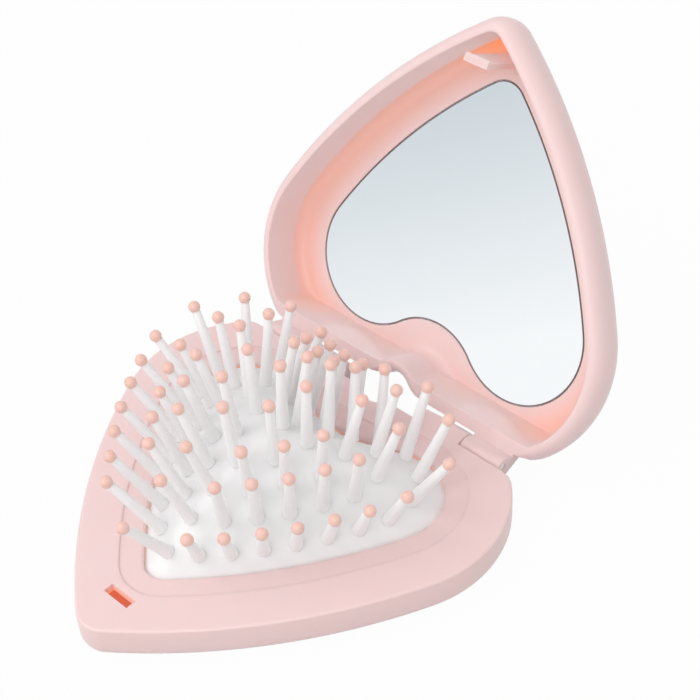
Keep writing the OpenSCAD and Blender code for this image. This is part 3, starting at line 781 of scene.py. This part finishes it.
def crownSlope(spot, share):
    reach = spot[0] * math.cos(spot[2]) + (spot[1] - pad["crownY"]) * math.sin(spot[2])
    return math.atan2(pad["rise"] * pad["power"] * share ** (pad["power"] - 1), reach)


def pinPlace(ring, i, stray):
    # the matrix that stands a pin on the cushion: its middle of foot at the origin, its length along Z
    count, share, lean, _ = ring
    spot = roundSpot(i / count)
    x, y = shrunk(spot[0], spot[1], share)
    slope = crownSlope(spot, share)
    return (Matrix.Translation(Vector((x, y, crownZ(share))) * mm) @ Matrix.Rotation(spot[2], 4, "Z")
            @ Matrix.Rotation(slope, 4, "Y") @ Matrix.Translation((0, 0, (pins["footR"] + pins["gap"]) * mm))
            @ Matrix.Rotation(math.radians(lean) - slope + math.radians(stray[0]), 4, "Y")
            @ Matrix.Rotation(math.radians(stray[1]), 4, "X"))


def circleRow(r, z, sides=pins["sides"]):
    angles = [2 * math.pi * i / sides for i in range(sides)]
    return [(r * math.cos(a), r * math.sin(a), z) for a in angles]


def makePinPattern(length):
    # a tapered pin on a round foot that enters the cushion
    drop, h, skirt, root = pins["skirtDrop"], pins["skirtH"], pins["skirtR"], pins["rootR"]
    draw = skirt - root - pins["skirtEdge"]
    rows = [circleRow(pins["stubR"], -pins["stubDrop"])]
    rows += [circleRow(skirt - draw * math.sin(t), -drop + (drop + h) * (1 - math.cos(t)))
             for t in quarterTurn(6)]
    neck = length - pins["ballSeat"]
    endIn, endUp = pins["endEdge"]
    rows.append(circleRow(root, h + pins["shankStart"]))
    rows.append(circleRow((root + pins["endR"]) / 2, (h + neck) / 2))
    rows.append(circleRow(pins["endR"], neck))
    rows.append(circleRow(pins["endR"] - endIn, neck + endUp))
    return growRows("pinPattern", rows, True, True)


def makeBallPattern(length):
    r, sides, count = pins["ballR"], pins["ballSides"], pins["ballRows"]
    rows = [circleRow(pins["endR"] + out, z, sides) for out, z in pins["seatRows"]]
    low = -math.acos(pins["ballFrom"])
    for k in range(count):
        a = low + (math.pi / 2 - low) * k / (count + pins["ballTop"])
        rows.append(circleRow(r * math.cos(a), r * math.sin(a), sides))
    pattern = growRows("ballPattern", rows, True, True)
    pattern.data.transform(Matrix.Translation((0, 0, length * mm)))
    return pattern


def plantGroup(label, ringName, indices, body):
    ring = rings[ringName]
    chance = random.Random(label)
    strays = [(chance.uniform(-1, 1) * pins["wander"], chance.uniform(-1, 1) * pins["wander"])
              for _ in indices]
    for kind, make, material, slotName in (
            ("pins", makePinPattern, whitePin, "pin_white"),
            ("balls", makeBallPattern, pinkBall, "ball_pink")):
        pattern = make(ring[3])
        copies = []
        for i, stray in zip(indices, strays):
            one = pattern.copy()
            one.data = pattern.data.copy()
            bpy.context.collection.objects.link(one)
            one.data.transform(pinPlace(ring, i, stray))
            copies.append(one)
        bpy.data.objects.remove(pattern, do_unlink=True)
        bpy.ops.object.select_all(action="DESELECT")
        for one in copies:
            one.select_set(True)
        bpy.context.view_layer.objects.active = copies[0]
        if len(copies) > 1:
            bpy.ops.object.join()
        group = bpy.context.view_layer.objects.active
        group.name = group.data.name = kind + "_" + label + "_dressed"
        smooth(group, 50)
        dress(group, material, body, slotName, kind + "_" + label)
        group.visible_glossy = False


def ringIndices(low, high, side):
    # the outer pins whose share of the half way round lies between low and high, on one side
    count = rings["outer"][0]
    picked = []
    for i in range(count):
        share = i / count
        half = 2 * min(share, 1 - share)
        if low <= half < high and (side == 0 or (share < 0.5) == (side > 0)):
            picked.append(i)
    return picked


plantGroup("tip", "outer", ringIndices(0, pins["tipShare"], 0), "outer_tip")
plantGroup("notch", "back", ringIndices(pins["lobeShare"], pins["wholeShare"], 0), "outer_notch")
for sideName, side in (("right", 1), ("left", -1)):
    for part, ringName, low, high in (
            ("side", "outer", "tipShare", "sideShare"), ("lobe_outer", "outer", "sideShare", "turnShare"),
            ("lobe_inner", "back", "turnShare", "lobeShare")):
        label = sideName + "_" + part
        plantGroup(label, ringName, ringIndices(pins[low], pins[high], side), "outer_" + label)
plantGroup("second_ring", "second", range(rings["second"][0]), "second_ring")
plantGroup("third_ring", "third", range(rings["third"][0]), "third_ring")
plantGroup("middle", "middle", range(rings["middle"][0]), "middle_cluster")
print("pins done")

# the cover, the hinge pins and the two hidden pieces keep their CAD shape, with a new finish
for nodeName, material in (("bottom_cover", pinkCover), ("pad_frame", whiteFrame), ("hinge_pin_left", steel),
                           ("hinge_pin_right", steel), ("mirror_adhesive", greyFilm)):
    node = frame["nodes"][nodeName]
    node.data.materials.clear()
    node.data.materials.append(material)
    node.visible_glossy = False

studio = {
    "floorSize": 6.0, "floorColor": (0.55, 0.55, 0.55), "floorOwnLight": 0.97,
    "fill": 0.8, "key": (-0.35, -0.45, 0.65, 0.6, 1.9), "side": (0.3, -0.6, 0.55, 0.5, 1.6),
    # what gloss and the mirror see: white low down and to the right, grey-blue higher up
    "horizon": (1.0, 1.0, 1.0), "overhead": (0.444, 0.514, 0.57),
    "slant": 1.04, "whiteAt": 0.517, "overheadAt": 0.847,
    "lightsAim": (0, 0, 0.03), "sensor": 36, "nearest": 0.01,
    "lens": 86.27, "camera": (0.16988, -0.15006, 0.23858), "yaw": 46.256, "pitch": 42.399, "roll": -4.503,
}


def rayMask(nodes, link):
    # 1 on camera, glossy and transmission rays, which see the backdrop and not the lighting
    rays = nodes.new("ShaderNodeLightPath")
    both = nodes.new("ShaderNodeMath")
    both.operation = "MAXIMUM"
    link(rays.outputs["Is Camera Ray"], both.inputs[0])
    link(rays.outputs["Is Glossy Ray"], both.inputs[1])
    every = nodes.new("ShaderNodeMath")
    every.operation = "MAXIMUM"
    link(both.outputs[0], every.inputs[0])
    link(rays.outputs["Is Transmission Ray"], every.inputs[1])
    return every.outputs[0]


def makeFloor():
    bpy.ops.object.select_all(action="DESELECT")
    bpy.ops.mesh.primitive_plane_add(size=studio["floorSize"])
    floor = bpy.context.object
    floor.name = "floor"
    material = bpy.data.materials.new("paleFloor")
    material.use_nodes = True
    nodes, link = material.node_tree.nodes, material.node_tree.links.new
    shader = nodes["Principled BSDF"]
    shader.inputs["Base Color"].default_value = (*studio["floorColor"], 1)
    shader.inputs["Roughness"].default_value = 0.9
    shader.inputs["Specular IOR Level"].default_value = 0.0
    light = nodes.new("ShaderNodeEmission")
    share = nodes.new("ShaderNodeMath")
    share.operation = "MULTIPLY"
    share.inputs[1].default_value = studio["floorOwnLight"]
    link(rayMask(nodes, link), share.inputs[0])
    mix = nodes.new("ShaderNodeMixShader")
    link(share.outputs[0], mix.inputs["Fac"])
    link(shader.outputs["BSDF"], mix.inputs[1])
    link(light.outputs["Emission"], mix.inputs[2])
    link(mix.outputs["Shader"], nodes["Material Output"].inputs["Surface"])
    floor.data.materials.append(material)
    floor.visible_glossy = False      # gloss sees the plain backdrop instead, without a horizon line


def makeWorld():
    world = bpy.data.worlds.new("studio")
    bpy.context.scene.world = world
    world.use_nodes = True
    nodes, link = world.node_tree.nodes, world.node_tree.links.new
    lighting = nodes["Background"]
    lighting.inputs["Color"].default_value = (1, 1, 1, 1)
    lighting.inputs["Strength"].default_value = studio["fill"]
    seen = nodes.new("ShaderNodeBackground")
    direction = nodes.new("ShaderNodeTexCoord")
    split = nodes.new("ShaderNodeSeparateXYZ")
    link(direction.outputs["Generated"], split.inputs["Vector"])
    slant = nodes.new("ShaderNodeMath")
    slant.operation = "MULTIPLY_ADD"
    slant.inputs[1].default_value = -studio["slant"]
    link(split.outputs["X"], slant.inputs[0])
    link(split.outputs["Z"], slant.inputs[2])
    height = nodes.new("ShaderNodeMapRange")
    height.inputs["From Min"].default_value = studio["whiteAt"]
    height.inputs["From Max"].default_value = studio["overheadAt"]
    link(slant.outputs[0], height.inputs["Value"])
    shade = nodes.new("ShaderNodeMix")
    shade.data_type = "RGBA"
    shade.inputs["A"].default_value = (*studio["horizon"], 1)
    shade.inputs["B"].default_value = (*studio["overhead"], 1)
    rays = nodes.new("ShaderNodeLightPath")
    glossy = nodes.new("ShaderNodeMath")
    glossy.operation = "MULTIPLY"
    link(rays.outputs["Is Glossy Ray"], glossy.inputs[0])
    link(height.outputs["Result"], glossy.inputs[1])
    link(glossy.outputs[0], shade.inputs["Factor"])
    link(shade.outputs["Result"], seen.inputs["Color"])
    mix = nodes.new("ShaderNodeMixShader")
    link(rayMask(nodes, link), mix.inputs["Fac"])
    link(lighting.outputs["Background"], mix.inputs[1])
    link(seen.outputs["Background"], mix.inputs[2])
    link(mix.outputs["Shader"], nodes["World Output"].inputs["Surface"])


def makeLight(name, x, y, z, size, watts):
    data = bpy.data.lights.new(name, "AREA")
    data.shape = "DISK"
    data.size = size
    data.energy = watts
    lamp = bpy.data.objects.new(name, data)
    bpy.context.collection.objects.link(lamp)
    lamp.location = (x, y, z)
    aim = Vector(studio["lightsAim"]) - lamp.location
    lamp.rotation_euler = aim.to_track_quat("-Z", "Y").to_euler()


def makeCamera():
    data = bpy.data.cameras.new("camera")
    data.lens = studio["lens"]
    data.sensor_width = studio["sensor"]
    data.clip_start = studio["nearest"]
    camera = bpy.data.objects.new("camera", data)
    bpy.context.collection.objects.link(camera)
    camera.location = studio["camera"]
    turn = (Matrix.Rotation(math.radians(studio["yaw"]), 3, "Z")
            @ Matrix.Rotation(math.radians(90 - studio["pitch"]), 3, "X")
            @ Matrix.Rotation(math.radians(studio["roll"]), 3, "Z"))
    camera.rotation_euler = turn.to_euler()
    bpy.context.scene.camera = camera


makeFloor()
makeWorld()
makeLight("keyLight", *studio["key"])
makeLight("sideLight", *studio["side"])
makeCamera()
bpy.context.scene.view_settings.view_transform = "Standard"
print("studio done")
